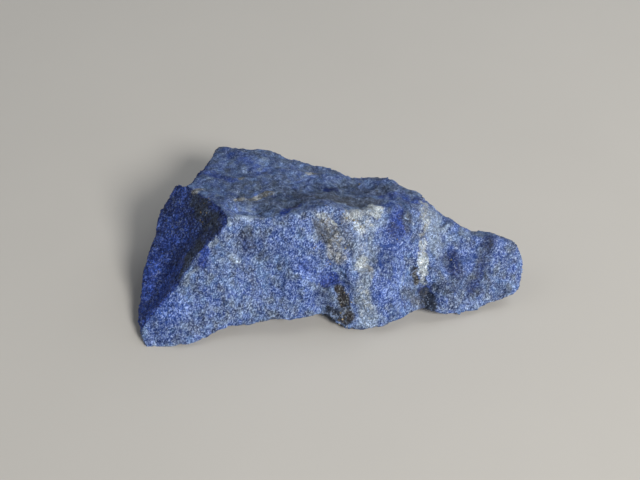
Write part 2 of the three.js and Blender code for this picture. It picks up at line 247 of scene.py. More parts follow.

# Places that are a little darker than the rest: partly darker stone and partly painted shade.
DARKER_STONE_AND_SHADE_BANDS = [
    ((18.5, -2.9, 6.5), (17.7, -5.2, 4.8), 1.3, 0.8),
    ((17.7, -5.2, 4.8), (16.3, -7.6, 2.8), 1.4, 0.9),
    ((-19.5, 1, 7.5), (-17.5, 4.5, 9.2), 1.6, 0.6),
    ((5, 3.4, 9), (6.6, 2.8, 9.2), 1.0, 0.6),
    ((-8.3, -7.1, 7.4), (-7.9, -7.4, 6.8), 0.9, 0.5),
    ((-1.3, -5.2, 10.3), (-0.6, -6, 9.4), 0.9, 0.6),
    ((14.1, -5.2, 5.5), (14.6, -6.6, 4.3), 1.3, 0.9),
    ((14.4, -6.4, 4.5), (13.8, -7.8, 3.3), 1.3, 0.8),
    ((10.9, -7.8, 2.6), (11.5, -8.8, 1.9), 1.0, 1.3),
    ((6.4, -6.6, 7.7), (6.2, -8, 6.4), 1.3, 0.6),
    ((-10.4, 0, 10.5), (-9.8, 0.3, 10.4), 0.9, 0.8),
    ((-8, 8, 8.3), (-6, 7, 8.6), 1.3, 0.4),
    ((-5, -2.4, 11), (-4.6, -1.8, 10.7), 0.8, 0.7),
    ((7, -3.9, 9.3), (7.3, -4.7, 8.6), 0.9, 0.7),
    ((-7, 1.5, 10), (-3, 0, 10.7), 1.9, 1.3),
    ((-12.5, -2, 11.2), (-11, -1.8, 11), 1.1, 0.5),
    ((-1.5, 3, 9.3), (3, 3, 9), 1.7, 0.7),
    ((-14, 12, 7.5), (-11, 9, 8), 2.2, 0.5),
    ((-9.8, -6.2, 10.6), (-9.4, -7, 9.3), 1.1, 0.8),
    ((-8.1, -6.1, 10), (-8, -6.9, 8.2), 1.5, 0.6),
    ((-8.3, -9, 5), (-7.8, -9.5, 4.2), 1.2, 0.3),
    ((18.5, -6.9, 2.5), (20, -6.8, 1.8), 1.3, 0.65),
    ((0, -4.3, 10.9), (0.2, -4.9, 10.3), 0.7, 0.4),
    ((-9.9, -8.6, 6.6), (-9.2, -9.2, 5.2), 1.3, 0.5),
    ((-15, -9.9, 6), (-13.5, -11.2, 3.3), 1.5, 0.4),
    ((-1.2, -9.2, 4.2), (-0.3, -10.2, 1.8), 1.3, 0.9),
    ((9, -7, 4), (9.7, -8, 2.6), 0.9, 0.6),
    ((8.6, -2, 9.8), (8.8, -3.8, 8.9), 0.8, 0.8),
    ((6.9, -1.4, 10.7), (7.3, -1.9, 10.4), 0.8, 0.4),
]

# Dark grey-green matrix.
SLATE_BANDS = [
    ((-10.5, -0.8, 10.7), (-8, -0.8, 10.5), 0.9, 0.6),
    ((-7, -1.5, 11), (-1, -1.5, 11.2), 1.2, 0.5),
    ((-0.9, 1, 10), (4.2, -0.6, 10.2), 1.4, 1.0),
    ((5, 2, 9.4), (9, 3, 9), 2.0, 0.5),
    ((-1.5, -4.8, 11), (0, -6, 9.5), 1.2, 0.8),
    ((1.4, -4.5, 10.6), (1.6, -6, 9.2), 1.0, 0.6),
    ((8.5, -8.4, 3.2), (10, -8.8, 1.9), 1.0, 0.6),
    ((8.4, -2.6, 9.6), (8.7, -3.6, 9), 0.7, 0.4),
    ((8.9, -0.5, 9.9), (9.8, -0.8, 9.7), 0.7, 0.5),
]

# Grey-brown matrix.
TAN_BANDS = [
    ((-11.1, -1, 11.1), (-9, 0.3, 10.4), 0.35, 1.0),
    ((-9, 0.3, 10.4), (-7.3, 1.4, 10.2), 0.5, 1.2),
    ((-11.3, 4.2, 9.5), (-10.9, 4.6, 9.5), 0.45, 0.9),
    ((-3, 6.6, 8.6), (-2.5, 6.6, 8.6), 0.6, 0.9),
    ((-16.2, 1.2, 10.3), (-15.8, 2.1, 10), 0.6, 0.8),
    ((-0.6, -4.4, 11.2), (0.2, -5.2, 10.2), 1.1, 0.6),
    ((0, -6.2, 9.2), (0.6, -7.2, 7.9), 1.3, 0.65),
    ((3.9, -8, 6.8), (4.5, -8.6, 6), 0.5, 0.7),
    ((3.5, 4.2, 8.6), (8, 1.8, 9.4), 1.6, 0.3),
    ((1, -4, 11), (2.6, -3.6, 11.3), 0.8, 0.6),
    ((10.8, -1, 9.5), (10.6, -3.6, 7.8), 0.35, 0.7),
    ((8.5, -8.4, 3.2), (10, -8.8, 1.9), 0.8, 0.4),
]

# Rusty mineral in the pockets.
BROWN_BANDS = [
    ((0.7, -8.8, 4.2), (1.2, -9.6, 3.1), 0.6, 0.85),
    ((1.2, -9.6, 3.1), (1.7, -10.8, 1.5), 0.9, 0.9),
    ((9.6, -6.1, 5), (9.9, -7.1, 3.5), 0.28, 1.2),
]

# Milky blue beside the veins, and pale lines along the rims, partly wear and partly painted highlight.
PALE_BANDS = [
    ((-8.9, 0.8, 10.2), (-7.8, 1.4, 10.1), 0.4, 0.7),
    ((-10.3, -2.9, 10.8), (-9.4, -2.6, 10.8), 0.7, 0.6),
    ((11.8, -1.1, 8.8), (12.1, -4.1, 6.6), 1.3, 0.85),
    ((6.2, -2.5, 10.3), (6.2, -3, 9.9), 1.0, 0.35),
    ((3.6, -3.6, 11), (3.4, -7.4, 7.3), 2.0, 0.6),
    ((3.6, -9, 5.5), (4.1, -11.1, 1.8), 1.4, 0.8),
    ((-11, -7.9, 8.5), (-10.6, -8, 8.4), 0.8, 0.9),
    ((-11.8, -9.8, 5), (-11.1, -9.9, 4.9), 0.8, 0.4),
    ((0, -7.2, 7.1), (0.5, -7.6, 6.6), 0.8, 0.5),
    ((14, -2.4, 7.6), (15.5, -2.2, 7.6), 1.0, 0.35),
    ((13.5, -8.9, 2.2), (16.5, -8.8, 1.3), 0.8, 0.5),
    ((-10.5, -4.8, 12.3), (-8.9, -4.9, 12.1), 0.8, 0.8),
    ((-0.5, -3.9, 11.8), (0.5, -7.5, 7.6), 1.8, 0.3),
    ((-11.4, -5.9, 12.2), (-13.8, -7.1, 9.6), 0.35, 1.3),
    ((-15.3, -8.4, 8), (-16.8, -9.7, 5.9), 0.25, 0.9),
]

# The white veins.
CALCITE_BANDS = [
    ((2.2, -3.5, 11.5), (4, -2.6, 11.2), 1.0, 0.75),
    ((4.3, -1.6, 10.8), (5, -2.8, 10.7), 0.9, 1.0),
    ((2.8, -3.9, 10.9), (3.6, -4.4, 10.3), 1.2, 0.6),
    ((3.4, -5.2, 9.4), (3.4, -7.2, 7.5), 0.8, 0.3),
    ((3.4, -7.2, 7.5), (3.2, -7.9, 6.8), 0.8, 0.9),
    ((3.4, -8, 6.6), (3.6, -9.5, 4.9), 0.8, 0.35),
    ((3.6, -9.7, 4.6), (4.2, -11.3, 1.5), 1.0, 0.45),
    ((10.9, 0, 9.8), (10.8, -2.6, 8.4), 0.8, 0.6),
    ((10.8, -2.6, 8.4), (10.7, -4.2, 7.2), 0.75, 0.45),
    ((10.7, -4.2, 7.2), (10.6, -5.2, 6.6), 0.7, 0.65),
    ((10.6, -5.4, 6.4), (10.6, -6.4, 4.7), 0.6, 1.5),
    ((10.7, -6.5, 4.4), (10.6, -7.2, 3.5), 0.4, 0.6),
    ((10, -7.2, 3.4), (9.5, -8, 2.9), 0.35, 0.45),
    ((-1.8, -3.9, 11.7), (-0.8, -4, 11.6), 0.5, 0.6),
    ((0, -4.4, 10.8), (0.1, -4.5, 10.7), 0.35, 1.0),
]

# Where the pyrite sits: centre and half-widths of each cluster in mm, and how many crystals.
PYRITE_CLUSTERS = [
    ((0.5, -3.6, 11.5), (2.2, 1.5, 1.0), 12),
    ((2.2, -4.5, 10.3), (1.6, 1.5, 1.2), 9),
    ((-1, -7.5, 6.6), (1.0, 1.0, 0.9), 4),
    ((0, -5.5, 9.5), (2.5, 2, 2), 8),
    ((1.4, -10, 2.5), (1.0, 1.6, 2.0), 16),
    ((-14.9, -2.6, 10.6), (0.7, 1.5, 1.4), 16),
    ((-2, -3, 6), (17, 9, 6), 8),
]


# ------------------------------ node trees

MIDDLE = (0.5, 0.5, 0.5)  # the middle of each channel of a noise
NOISE_ROUGHNESS = 0.55  # how strong the finer detail of each noise is
BAND_CORE = 0.3  # a band has its full strength up to this part of its half-width
BAND_REACH = 1.6  # and is gone at this part of it


class NodeKit:
    """Adds nodes to one tree, and joins a value to each socket, by the socket's name or number."""

    def __init__(self, tree):
        self.tree = tree

    def add(self, kind, inputs=None, **settings):
        node = self.tree.nodes.new(kind)
        for name, value in settings.items():
            setattr(node, name, value)
        for name, value in (inputs or {}).items():
            self.join(value, node.inputs[name])
        return node

    def join(self, value, socket):
        if isinstance(value, bpy.types.NodeSocket):
            self.tree.links.new(value, socket)
        else:
            socket.default_value = value

    def math(self, operation, *values):
        return self.add("ShaderNodeMath", dict(enumerate(values)), operation=operation).outputs[0]

    def times(self, first, second):
        return self.math("MULTIPLY", first, second)

    def times_plus(self, value, factor, rest):
        return self.math("MULTIPLY_ADD", value, factor, rest)

    def larger(self, first, second):
        return self.math("MAXIMUM", first, second)

    def between(self, share, at_0, at_1):
        """at_0 where share is 0, at_1 where it is 1, and in proportion between them."""
        return self.times_plus(share, at_1 - at_0, at_0)

    def vector(self, operation, *values):
        return self.add("ShaderNodeVectorMath", dict(enumerate(values)), operation=operation)

    def moved(self, operation, *values):
        return self.vector(operation, *values).outputs["Vector"]

    def number(self, operation, *values):
        return self.vector(operation, *values).outputs["Value"]

    def dot(self, first, second):
        return self.number("DOT_PRODUCT", first, second)

    def part(self, vector, axis):
        return self.add("ShaderNodeSeparateXYZ", {"Vector": vector}).outputs[axis]

    def channels(self, colour):
        """The red, green and blue of a noise's colour, which serve as three separate noises."""
        return self.add("ShaderNodeSeparateColor", {"Color": colour}).outputs

    def centred(self, colour):
        """A noise's colour as a vector that points any way from its middle."""
        return self.moved("SUBTRACT", colour, MIDDLE)

    def scaled(self, vector, factor):
        node = self.add("ShaderNodeVectorMath", {0: vector, "Scale": factor}, operation="SCALE")
        return node.outputs["Vector"]

    def ramp(self, value, low, high, to_low=0.0, to_high=1.0):
        """A smooth step of value, from to_low below low to to_high above high."""
        inputs = {"Value": value, "From Min": low, "From Max": high, "To Min": to_low, "To Max": to_high}
        node = self.add("ShaderNodeMapRange", inputs, interpolation_type="SMOOTHSTEP", clamp=True)
        return node.outputs["Result"]

    def mix(self, factor, first, second):
        node = self.add("ShaderNodeMix", data_type="RGBA", clamp_factor=True)
        for name, value in (("Factor_Float", factor), ("A_Color", first), ("B_Color", second)):
            socket = next(s for s in node.inputs if s.identifier == name)
            self.join(value, socket)
        return next(s for s in node.outputs if s.identifier == "Result_Color")

    def noise(self, place, size, detail=3.0):
        """A noise value with bumps of about the given size, in the units of place."""
        inputs = {"Vector": place, "Scale": 1.0 / size, "Detail": detail, "Roughness": NOISE_ROUGHNESS}
        return self.add("ShaderNodeTexNoise", inputs)

    def cells(self, place, size, feature="F1"):
        return self.add("ShaderNodeTexVoronoi", {"Vector": place, "Scale": 1.0 / size}, feature=feature)

    def offset_from(self, place, size, amount, detail=3.0):
        """place, pushed about by up to about the given amount, by noise of the given size."""
        noise = self.noise(place, size, detail)
        return self.moved("ADD", place, self.scaled(self.centred(noise.outputs["Color"]), amount * 2))

    def tilted_cells(self, place, size):
        """Flat tilted facets, one in each cell, with the height 0 at its middle and at most about 0.5."""
        cells = self.cells(place, size)
        tilt = self.centred(cells.outputs["Color"])
        across = self.scaled(self.moved("SUBTRACT", place, cells.outputs["Position"]), 2 / size)
        return self.dot(tilt, across)

    def blurred(self, vector, passes):
        inputs = {"Value": vector, "Iterations": passes}
        return self.add("GeometryNodeBlurAttribute", inputs, data_type="FLOAT_VECTOR").outputs["Value"]

    def stored(self, geometry, name, value, data_type="FLOAT"):
        inputs = {"Geometry": geometry, "Name": name, "Value": value}
        store = self.add("GeometryNodeStoreNamedAttribute", inputs, data_type=data_type, domain="POINT")
        return store.outputs["Geometry"]

    def recalled(self, name, data_type="FLOAT"):
        """A value that the same geometry nodes stored earlier."""
        node = self.add("GeometryNodeInputNamedAttribute", {"Name": name}, data_type=data_type)
        return node.outputs["Attribute"]

    def marking(self, name):
        """A value that the geometry nodes stored, read in a material."""
        return self.add("ShaderNodeAttribute", attribute_name=name).outputs["Fac"]

    def raised(self, geometry, normal, height, factor):
        """The geometry with each point moved along its normal by a height in millimetres."""
        offset = self.scaled(normal, self.times(height, factor * MM))
        moved = self.add("GeometryNodeSetPosition", {"Geometry": geometry, "Offset": offset})
        return moved.outputs["Geometry"]

    def band(self, place, start, end, half_width, strength):
        """strength along a line from start to end, falling to nothing a little outside half_width."""
        line = Vector(end) - Vector(start)
        apart = self.moved("SUBTRACT", place, start)
        along = self.dot(apart, line / line.length_squared)
        along = self.math("MINIMUM", self.larger(along, 0.0), 1.0)
        aside = self.moved("SUBTRACT", apart, self.scaled(line, along))
        distance = self.number("LENGTH", aside)
        return self.ramp(distance, BAND_CORE * half_width, BAND_REACH * half_width, strength, 0.0)

    def bands(self, place, table):
        """The strongest of several bands at each point."""
        strongest = 0.0
        for start, end, half_width, strength in table:
            band = self.band(place, start, end, half_width, strength)
            strongest = self.larger(band, strongest)
        return strongest


def rgba(settings_colour):
    return (*settings_colour, 1.0)


def new_material(name):
    """A new material with a kit for its nodes, the place on the piece in mm, and its shader."""
    material = bpy.data.materials.new(name)
    material.use_nodes = True
    kit = NodeKit(material.node_tree)
    place = kit.scaled(kit.add("ShaderNodeTexCoord").outputs["Object"], 1 / MM)
    return material, kit, place, material.node_tree.nodes["Principled BSDF"]


# ------------------------------ stone mesh

MERGE_DISTANCE = 0.001 * MM
EASE_FACTOR = 0.5  # how far each pass eases the flat facets of the solid into each other
EASE_PASSES = 2

# The hollow on the left. Seen from above, its rim runs along two straight lines, and the hollow lies
# behind them. On the other side it ends at a slanting ridge. Each line is given by a direction across
# it, and by where it lies along that direction in mm.
RIM_LINES = [((-0.667, 1.0, 0.0), 2.64), ((-0.14, 1.0, 0.0), -4.98)]
RIDGE_ACROSS = (0.9, 0.435, 0.0)
RIDGE_RAMP = (-14.9, -14.4, 1.0, 0.0)
BACK_FADE_RAMP = (-12.0, -8.0, 1.0, 0.0)
SCOOP_FACING = (-0.75, 0.55, 0.2)  # the way that most of the hollow faces
RIM_SHARE = 0.6  # how much the rim's lines count beside the way that the surface faces
BEHIND_RIM_RAMP = (0.19, 0.31)
LEFT_FACING_RAMP = (-0.42, -0.28, 1.0, 0.0)
NORMAL_PASSES = 3  # how often the normals are blurred with their neighbours

# The noise that makes the borders of the markings ragged, in mm.
RAGGED_SIZE = 1.6
RAGGED_REACH = 0.9
RAGGED_DETAIL = 5.0

# The relief, in mm. Like the chips, the flakes have bent borders.
BASE_RAMP = (0.02, 0.4)  # the heights above the ground where the relief starts and where it is full
BULGE_PASSES = 8  # how often the places are blurred, to find what stands out
STEP_NOISE_SIZE = 5.0
STEP_BEND_SIZE = 1.0
STEP_BEND = 0.15
STEPS = 7  # how many small steps in the surface the full range of their noise would give
LEDGE_RAMP = (0.0, 0.2, 1.0, 0.0)  # the part of each step that counts as its rim
FLAKE_SIZE = 2.4
FLAKE_BEND_SIZE = 1.5
FLAKE_BEND = 0.4
GRAIN_RELIEF_BEND = 0.08
SWELL_SIZE = 3.0


def deselect_all():
    if bpy.context.object and bpy.context.object.mode != "OBJECT":
        bpy.ops.object.mode_set(mode="OBJECT")
    bpy.ops.object.select_all(action="DESELECT")


def make_active(obj):
    deselect_all()
    obj.select_set(True)
    bpy.context.view_layer.objects.active = obj


def copy_of_solid(node_name, new_name):
    """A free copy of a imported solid, with the loose triangles merged into one skin."""
    make_active(frame["nodes"][node_name])
    bpy.ops.object.duplicate()
    copy = bpy.context.object
    copy.name = copy.data.name = new_name
    del copy["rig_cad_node"]
    bpy.ops.object.mode_set(mode="EDIT")
    bpy.ops.mesh.select_all(action="SELECT")
    bpy.ops.mesh.remove_doubles(threshold=MERGE_DISTANCE)
    bpy.ops.object.mode_set(mode="OBJECT")
    return copy


def apply_modifier(obj, name, kind, **settings):
    modifier = obj.modifiers.new(name, kind)
    for key, value in settings.items():
        setattr(modifier, key, value)
    bpy.ops.object.modifier_apply(modifier=modifier.name)


def inside_scoop(kit, place, ragged, normal):
    """1 in the hollow on the stone's left, which the rim and the slanting ridge close off, else 0."""
    smooth_normal = kit.blurred(normal, NORMAL_PASSES)
    lower, upper = (kit.math("SUBTRACT", kit.dot(place, across), at) for across, at in RIM_LINES)
    behind = kit.larger(lower, upper)
    facing = kit.dot(smooth_normal, SCOOP_FACING)
    behind_rim = kit.ramp(kit.times_plus(behind, RIM_SHARE, facing), *BEHIND_RIM_RAMP)
    left_facing = kit.ramp(kit.part(smooth_normal, "X"), *LEFT_FACING_RAMP)
    # Past the ridge's line all of it counts. Nearer, what faces left does, and it fades round the back.
    round_back = kit.ramp(kit.dot(ragged, RIDGE_ACROSS), *BACK_FADE_RAMP)
    near = kit.times(left_facing, round_back)
    far = kit.ramp(kit.dot(place, RIDGE_ACROSS), *RIDGE_RAMP)
    return kit.times(behind_rim, kit.larger(near, far))


def store_markings(kit, geometry, place, normal):
    """Stores how strongly each mineral shows at each point of the stone."""
    ragged = kit.offset_from(place, RAGGED_SIZE, RAGGED_REACH, RAGGED_DETAIL)
    geometry = kit.stored(geometry, "ragged", ragged, "FLOAT_VECTOR")
    ragged = kit.recalled("ragged", "FLOAT_VECTOR")
    geometry = kit.stored(geometry, "scoop", inside_scoop(kit, place, ragged, normal))
    scoop = kit.recalled("scoop")
    for name, table, scoop_table in (
        ("vivid", VIVID_BANDS, []),
        ("deep_blue", DEEP_BLUE_BANDS, SCOOP_BLUE_BANDS),
        ("dark", DARK_BANDS, SCOOP_DARK_BANDS),
        ("slate", SLATE_BANDS, []),
        ("tan", TAN_BANDS, []),
        ("brown", BROWN_BANDS, []),
        ("calcite", CALCITE_BANDS, []),
        ("pale", PALE_BANDS, []),
        # The next is partly darker stone and partly painted shade, and the last is painted light.
        ("darker_stone_and_shade", DARKER_STONE_AND_SHADE_BANDS, []),
        ("painted_light", PAINTED_LIGHT_BANDS, SCOOP_PAINTED_LIGHT_BANDS),
    ):
        strength = kit.bands(ragged, table)
        if scoop_table:
            strength = kit.larger(strength, kit.times(kit.bands(ragged, scoop_table), scoop))
        geometry = kit.stored(geometry, name, strength)
    return geometry


def relief_tree(settings):
    """Geometry nodes that sharpen the ridges, raise flakes and grains, and store what they find."""
    tree = bpy.data.node_groups.new("fracture relief", "GeometryNodeTree")
    tree.interface.new_socket("Geometry", in_out="INPUT", socket_type="NodeSocketGeometry")
    tree.interface.new_socket("Geometry", in_out="OUTPUT", socket_type="NodeSocketGeometry")
    kit = NodeKit(tree)
    start = kit.add("NodeGroupInput")
    end = kit.add("NodeGroupOutput")
    position = kit.add("GeometryNodeInputPosition").outputs[0]
    normal = kit.add("GeometryNodeInputNormal").outputs[0]
    place = kit.scaled(position, 1 / MM)
    above_base = kit.ramp(kit.part(place, "Z"), *BASE_RAMP)

    # Ridges are sharpened by moving each point away from the middle of its neighbourhood.
    from_middle = kit.moved("SUBTRACT", place, kit.blurred(place, BULGE_PASSES))
    bulge = kit.dot(from_middle, normal)
    # How far each point stands out; it later pales the edges, partly as wear and partly as a painted
    # highlight.
    stored = kit.stored(start.outputs[0], "edge_wear_and_highlight", bulge)
    stored = store_markings(kit, stored, place, normal)
    sharpened = kit.raised(stored, normal, kit.times(bulge, above_base), settings.sharpening)

    # Small steps follow contour lines of a noise. Each slopes gently and then drops at its edge.
    contours = kit.noise(kit.offset_from(place, STEP_BEND_SIZE, STEP_BEND), STEP_NOISE_SIZE).outputs[0]
    within_step = kit.math("FRACT", kit.times(contours, STEPS))
    sharpened = kit.stored(sharpened, "ledge", kit.ramp(within_step, *LEDGE_RAMP))

    flakes = kit.tilted_cells(kit.offset_from(place, FLAKE_BEND_SIZE, FLAKE_BEND), FLAKE_SIZE)
    chips = kit.tilted_cells(kit.offset_from(place, CHIP_BEND_SIZE, CHIP_BEND), CHIP_SIZE)
    grain = settings.grain_size / MM
    grains = kit.tilted_cells(kit.offset_from(place, grain, GRAIN_RELIEF_BEND), grain)
    swells = kit.math("SUBTRACT", kit.noise(place, SWELL_SIZE, detail=5.0).outputs[0], 0.5)
    ledges = kit.math("SUBTRACT", 0.5, within_step)
    height = 0.0
    for shape, full_height in (
        (flakes, settings.flake_height),
        (chips, settings.chip_height),
        (grains, settings.grain_height),
        (swells, settings.swell_height),
        (ledges, settings.ledge_height),
    ):
        height = kit.times_plus(shape, full_height / MM, height)
    kit.join(kit.raised(sharpened, normal, kit.times(height, above_base), 1.0), end.inputs[0])
    return tree


# ------------------------------ stone finish

GRAIN_BEND = 0.12  # how far the borders of the coloured grains are bent, in mm
FIBRE_DIRECTION = (0.45, 0.4, 0.8)  # along the mineral fibres
FIBRE_STRETCH = -0.5  # places are drawn together along the fibres, which draws the noise out
FIBRE_WIDTH = 0.16
FIBRE_BEND_SIZE = 0.8
FIBRE_BEND = 0.1
FIBRE_RAMP = (0.47, 0.7)
CLOUD_SIZE = 4.0  # width of the broad clouds in the colour, in mm
PATCH_SIZE = 0.95  # width of the small patches of one tone, in mm
PATCH_STRETCH = (1.0, 0.8, 0.7)
SOFT_RANGE = 0.72  # brings the patches without fine detail to the range of the others

# How much the patches, the grains and the specks count in the borders of the markings.
FLECK_PATCHES = 1.1
FLECK_SHIFT = -0.12
FLECK_GRAINS = 0.1
FLECK_SPECKS = 0.04
MARKING_WEIGHT = 1.2
MARKING_RAMP = (0.85, 1.45)

# How much the clouds and the grains count beside the patches in the ground's tone, and the ramps
# that lead from each of its colours to the next.
TONE_CLOUDS = 0.4
TONE_GRAINS = 0.05
MID_BLUE_RAMP = (0.59, 0.74)
SKY_BLUE_RAMP = (0.73, 0.89)
VIVID_RAMP = (0.74, 0.87, 0.0, 0.9)
GREY_RAMP = (0.545, 0.685, 0.6, 0.0)
PALE_RAMP = (0.8, 0.95, 0.0, 0.65)

# The flat top is greyer than the rest, and its grains stand out less.
TOP_GREY_RAMP = (0.75, 0.95, 0.0, 0.35)
TOP_CONTRAST_RAMP = (0.75, 0.95, 1.0, 0.45)

# The share of each second colour within a marking.
MILKY_SHARE = 0.9
PALE_SHARE = 0.65
VIVID_IN_DEEP_RAMP = (0.5, 1.0, 0.0, 0.35)
SLATE_SHARE = 0.75
DARKEST_TAN = 0.4
PALEST_TAN = 1.5
PALE_TAN_RAMP = (0.2, 0.8, 0.0, 0.5)
PALE_TAN_SPECKS = 0.5
TAN_IN_CALCITE_RAMP = (0.55, 0.85, 0.0, 0.6)
CALCITE_GRAINS = 0.3
CALCITE_SPECKS = 0.25
CALCITE_SHIFT = -0.27

# Worn edges, partly bruising and partly painted highlight, and the rims of the chips and small steps.
EDGE_WEAR_AND_HIGHLIGHT_RAMP = (0.05, 0.2)
WORN_FLECK_RAMP = (0.25, 0.7, 0.0, 0.6)
CHIP_RIM_RAMP = (0.03, 0.16, 1.0, 0.0)
CHIP_PATCH_RAMP = (0.45, 0.6)
LEDGE_PATCH_RAMP = (0.4, 0.6)
RIM_STRENGTH = 0.45

# Pairs: a value on ordinary stone, and the one on pure blue or in the hollow.
# The specks' whiteness and light are partly pale grains and partly painted sparkle.
SPECK_WHITENESS = (0.56, 0.09)
BRUISE_AND_HIGHLIGHT_STRENGTH = (1.0, 0.15)
# The hollow's value here paints shade over the whole hollow.
HOLLOW_PAINTED_SHADE = (1.0, 0.6)
SPECK_LIGHT = (1.3, 2.6)
GROUND_LIGHT = (0.54, 0.46)
GLINT_STRENGTH = (0.35, 0.22)

# Pairs: the light where a value is 0, and where it is 1.
# Partly darker stone and partly painted shade.
DARKER_STONE_AND_SHADE_LIGHT = (1.0, 0.5)
# Painted light.
PAINTED_LIGHT_LEVEL = (1.0, 1.6)
GRAIN_LIGHT = (0.85, 1.15)

SPECK_SHARPNESS = 3.0  # a high power leaves few bright specks
SPECK_STRENGTH = 0.8
# Lone specks painted as highlights.
GLINT_PATCHES = 0.5
GLINT_IN_BROWN = 0.1
GLINT_IN_HOLLOW = 0.06
GLINT_RAMP = (1.13, 1.25)
ROUGHNESS_RAMP = (0.0, 1.0, 0.4, 0.85)
STONE_IOR = 1.5
STONE_SPECULAR = 0.3


def flecked(kit, name, noise):
    """How much of a stored marking shows at each grain, from a noise that runs from 0 to 1."""
    return kit.ramp(kit.times_plus(kit.marking(name), MARKING_WEIGHT, noise), *MARKING_RAMP)


class StonePatterns:
    """The cells and noises that the stone's colours and small facets follow."""

    def __init__(self, kit, place, settings):
        self.place = place
        grain_size = settings.grain_size / MM
        self.grain_cells = kit.cells(kit.offset_from(place, grain_size, GRAIN_BEND), grain_size)
        self.grain = kit.channels(self.grain_cells.outputs["Color"])
        self.speck_cells = kit.cells(place, settings.speck_size / MM)
        self.speck = kit.channels(self.speck_cells.outputs["Color"])
        self.cloud = kit.channels(kit.noise(place, CLOUD_SIZE, detail=2.0).outputs["Color"])
        patch_place = kit.moved("MULTIPLY", place, PATCH_STRETCH)
        self.patch = kit.channels(kit.noise(patch_place, PATCH_SIZE, detail=2.0).outputs["Color"])
        # The same patches without their fine detail, for changes of hue.
        soft_noise = kit.noise(patch_place, PATCH_SIZE, detail=0.5).outputs["Color"]
        soft_patch = kit.moved("ADD", kit.scaled(kit.centred(soft_noise), SOFT_RANGE), MIDDLE)
        self.soft = kit.channels(soft_patch)
        self.normal = kit.add("ShaderNodeNewGeometry").outputs["Normal"]
        self.upward = kit.part(self.normal, "Z")
        self.contrast = kit.ramp(self.upward, *TOP_CONTRAST_RAMP)
        # These run from about 0 to 1 and mix patches, grains and specks, for ragged borders.
        self.fleck = {}
        for channel in ("Red", "Green", "Blue"):
            mixed = kit.times_plus(self.soft[channel], FLECK_PATCHES, FLECK_SHIFT)
            mixed = kit.times_plus(self.grain[channel], FLECK_GRAINS, mixed)
            self.fleck[channel] = kit.times_plus(self.speck[channel], FLECK_SPECKS, mixed)
        self.scoop = kit.marking("scoop")
        self.deep_blue = flecked(kit, "deep_blue", self.fleck["Red"])
        self.pure = kit.larger(self.deep_blue, self.scoop)
        self.bright = bright_specks(kit, self)


def bright_specks(kit, pattern):
    """Pale fibres along one direction and lone bright specks: partly pale grains, partly painted sparkle.
    """
    along = kit.dot(pattern.place, FIBRE_DIRECTION)
    stretch = kit.scaled(FIBRE_DIRECTION, kit.times(along, FIBRE_STRETCH))
    drawn_out = kit.moved("ADD", pattern.place, stretch)
    bent = kit.offset_from(drawn_out, FIBRE_BEND_SIZE, FIBRE_BEND)
    fibre = kit.ramp(kit.noise(bent, FIBRE_WIDTH, detail=2.0).outputs[0], *FIBRE_RAMP)
    few = kit.math("POWER", pattern.speck["Red"], SPECK_SHARPNESS)
    bright = kit.larger(fibre, kit.times(few, SPECK_STRENGTH))
    return kit.times(bright, pattern.contrast)


def ground_shade(kit, pattern, settings):
    """Navy to sky blue in small patches, of which some are cleaner or greyer."""
    tone = {}
    for channel, source in (("Red", pattern.patch), ("Green", pattern.soft), ("Blue", pattern.soft)):
        mixed = kit.times_plus(pattern.cloud[channel], TONE_CLOUDS, source[channel])
        tone[channel] = kit.times_plus(pattern.grain[channel], TONE_GRAINS, mixed)
    shade = rgba(settings.navy)
    for value, ramp, colour in (
        (tone["Red"], MID_BLUE_RAMP, settings.mid_blue),
        (tone["Red"], SKY_BLUE_RAMP, settings.sky_blue),
        (tone["Green"], VIVID_RAMP, settings.vivid_blue),
        (tone["Green"], GREY_RAMP, settings.grey),
        (tone["Blue"], PALE_RAMP, settings.pale_blue),
        (pattern.upward, TOP_GREY_RAMP, settings.grey),
    ):
        shade = kit.mix(kit.ramp(value, *ramp), shade, rgba(colour))
    return shade


def with_blue_markings(kit, pattern, settings, shade):
    """Adds the milky, the clean and the deep blue, and whitens the bright specks in them."""
    milky_share = kit.times(pattern.grain["Green"], MILKY_SHARE)
    milky_shade = kit.mix(milky_share, rgba(settings.pale_blue), rgba(settings.milky))
    pale_share = kit.times(flecked(kit, "pale", pattern.fleck["Blue"]), PALE_SHARE)
    shade = kit.mix(pale_share, shade, milky_shade)
    shade = kit.mix(flecked(kit, "vivid", pattern.fleck["Green"]), shade, rgba(settings.vivid_blue))
    vivid_share = kit.ramp(pattern.grain["Blue"], *VIVID_IN_DEEP_RAMP)
    deep_shade = kit.mix(vivid_share, rgba(settings.deep_blue), rgba(settings.vivid_blue))
    shade = kit.mix(pattern.deep_blue, shade, deep_shade)
    whiteness = kit.times(pattern.bright, kit.between(pattern.pure, *SPECK_WHITENESS))
    return kit.mix(whiteness, shade, rgba(settings.milky))


